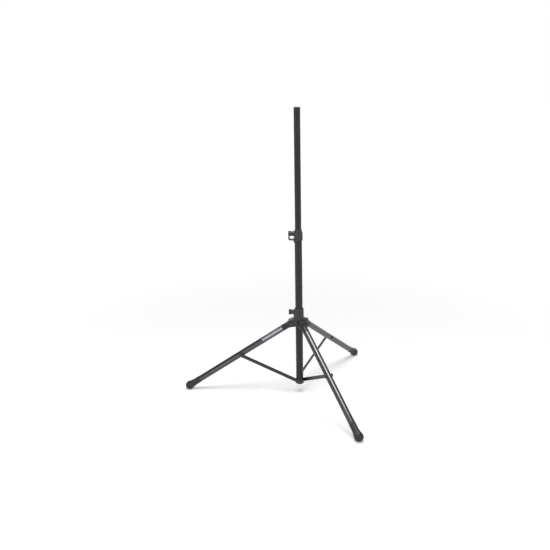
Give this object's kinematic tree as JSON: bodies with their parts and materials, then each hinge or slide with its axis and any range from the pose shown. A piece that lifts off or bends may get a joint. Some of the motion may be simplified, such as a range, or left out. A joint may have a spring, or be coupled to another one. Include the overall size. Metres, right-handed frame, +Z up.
{
  "type": "speaker tripod stand",
  "caption": "Folding tripod floor stand for a loudspeaker: telescoping round mast, clamp knobs, sliding hub, tube legs on rubber feet and flat side braces.",
  "frame": {"origin": "on the mast's axis at the floor", "axes": "+Z up along the mast; the left leg points to -X, the front leg to 300 degrees and the back leg to 60 degrees about +Z, all measured from +X"},
  "size_m": [1.0201, 1.1702, 1.6],
  "materials": {
    "coated_tube": "satin black coating on drawn tube",
    "coated_mast": "satin black coating, lightly scuffed by the clamp",
    "moulded_nylon": "fine-grained black glass-filled nylon",
    "bush_nylon": "smooth black nylon",
    "cap_plastic": "smooth black plastic",
    "knob_plastic": "fine-grained black plastic",
    "leg_end_plastic": "fine-grained black plastic",
    "coated_bar": "satin black coating on flat steel",
    "rubber": "moulded black rubber",
    "dark_steel": "black-zinc plated",
    "spring_steel": "drawn spring wire",
    "brass": "turned brass"
  },
  "bodies": {
    "column": {"main_tube": "coated_tube", "upper_collar": "moulded_nylon", "collar_bush": "bush_nylon", "collar_insert": "brass", "collar_pad": "bush_nylon", "lock_cap": "dark_steel", "lock_spring": "spring_steel", "base_block": "moulded_nylon", "brace_screws": "dark_steel"},
    "mast": {"mast_tube": "coated_mast", "mast_cap": "cap_plastic", "mast_guide": "bush_nylon"},
    "hub": {"leg_hub": "moulded_nylon", "hub_bush": "bush_nylon", "hub_insert": "brass", "hub_pad": "bush_nylon", "pivot_bolts": "dark_steel", "pivot_nuts": "dark_steel"},
    "upper_knob": {"upper_knob_grip": "knob_plastic", "upper_knob_stud": "dark_steel"},
    "lower_knob": {"lower_knob_grip": "knob_plastic", "lower_knob_stud": "dark_steel"},
    "lock_pin": {"lock_pin": "dark_steel", "lock_pull": "knob_plastic"},
    "leg_left": {"leg_left_knuckle": "leg_end_plastic", "leg_left_tube": "coated_tube", "leg_left_boot": "rubber", "leg_left_saddle": "leg_end_plastic", "leg_left_bolt": "dark_steel"},
    "brace_left": {"brace_left_bar": "coated_bar", "brace_left_rivet": "dark_steel"},
    "leg_front": {"leg_front_knuckle": "leg_end_plastic", "leg_front_tube": "coated_tube", "leg_front_boot": "rubber", "leg_front_saddle": "leg_end_plastic", "leg_front_bolt": "dark_steel"},
    "brace_front": {"brace_front_bar": "coated_bar", "brace_front_rivet": "dark_steel"},
    "leg_back": {"leg_back_knuckle": "leg_end_plastic", "leg_back_tube": "coated_tube", "leg_back_boot": "rubber", "leg_back_saddle": "leg_end_plastic", "leg_back_bolt": "dark_steel"},
    "brace_back": {"brace_back_bar": "coated_bar", "brace_back_rivet": "dark_steel"}
  },
  "joints": [
    {"name": "mast_slide", "type": "slide", "parent": "column", "child": "mast", "axis": [0, 0, 1], "range_m": [-0.48, 0.18]},
    {"name": "hub_slide", "type": "slide", "parent": "column", "child": "hub", "axis": [0, 0, 1], "range_m": [0, 0.36671]},
    {"name": "upper_knob_turn", "type": "hinge", "parent": "column", "child": "upper_knob", "pos_m": [0, 0, 0.93199], "axis": [-1, 0, 0], "range_deg": [0, 540]},
    {"name": "lower_knob_turn", "type": "hinge", "parent": "hub", "child": "lower_knob", "pos_m": [0, 0, 0.48398], "axis": [-1, 0, 0], "range_deg": [0, 540]},
    {"name": "lock_pin_slide", "type": "slide", "parent": "column", "child": "lock_pin", "axis": [1, 0, 0], "range_m": [0, 0.003]},
    {"name": "leg_left_hinge", "type": "hinge", "parent": "hub", "child": "leg_left", "pos_m": [-0.045, 0, 0.41898], "axis": [0, -1, 0], "range_deg": [0, 54.72]},
    {"name": "leg_front_hinge", "type": "hinge", "parent": "hub", "child": "leg_front", "pos_m": [0.0225, -0.03897, 0.41898], "axis": [0.866, 0.5, 0], "range_deg": [0, 54.72]},
    {"name": "leg_back_hinge", "type": "hinge", "parent": "hub", "child": "leg_back", "pos_m": [0.0225, 0.03897, 0.41898], "axis": [-0.866, 0.5, 0], "range_deg": [0, 54.72]},
    {"name": "brace_left_hinge", "type": "hinge", "parent": "column", "child": "brace_left", "pos_m": [0, 0, 0.0687], "axis": [0, 1, 0], "range_deg": [0, 55.95]},
    {"name": "brace_front_hinge", "type": "hinge", "parent": "column", "child": "brace_front", "pos_m": [0, 0, 0.0687], "axis": [-0.866, -0.5, 0], "range_deg": [0, 55.95]},
    {"name": "brace_back_hinge", "type": "hinge", "parent": "column", "child": "brace_back", "pos_m": [0, 0, 0.0687], "axis": [0.866, -0.5, 0], "range_deg": [0, 55.95]}
  ],
  "couplings": [
    {"joint": "leg_left_hinge", "follows": "hub_slide", "rad_per_m": 2.6044},
    {"joint": "leg_front_hinge", "follows": "hub_slide", "rad_per_m": 2.6044},
    {"joint": "leg_back_hinge", "follows": "hub_slide", "rad_per_m": 2.6044},
    {"joint": "brace_left_hinge", "follows": "hub_slide", "rad_per_m": 2.663},
    {"joint": "brace_front_hinge", "follows": "hub_slide", "rad_per_m": 2.663},
    {"joint": "brace_back_hinge", "follows": "hub_slide", "rad_per_m": 2.663}
  ]
}
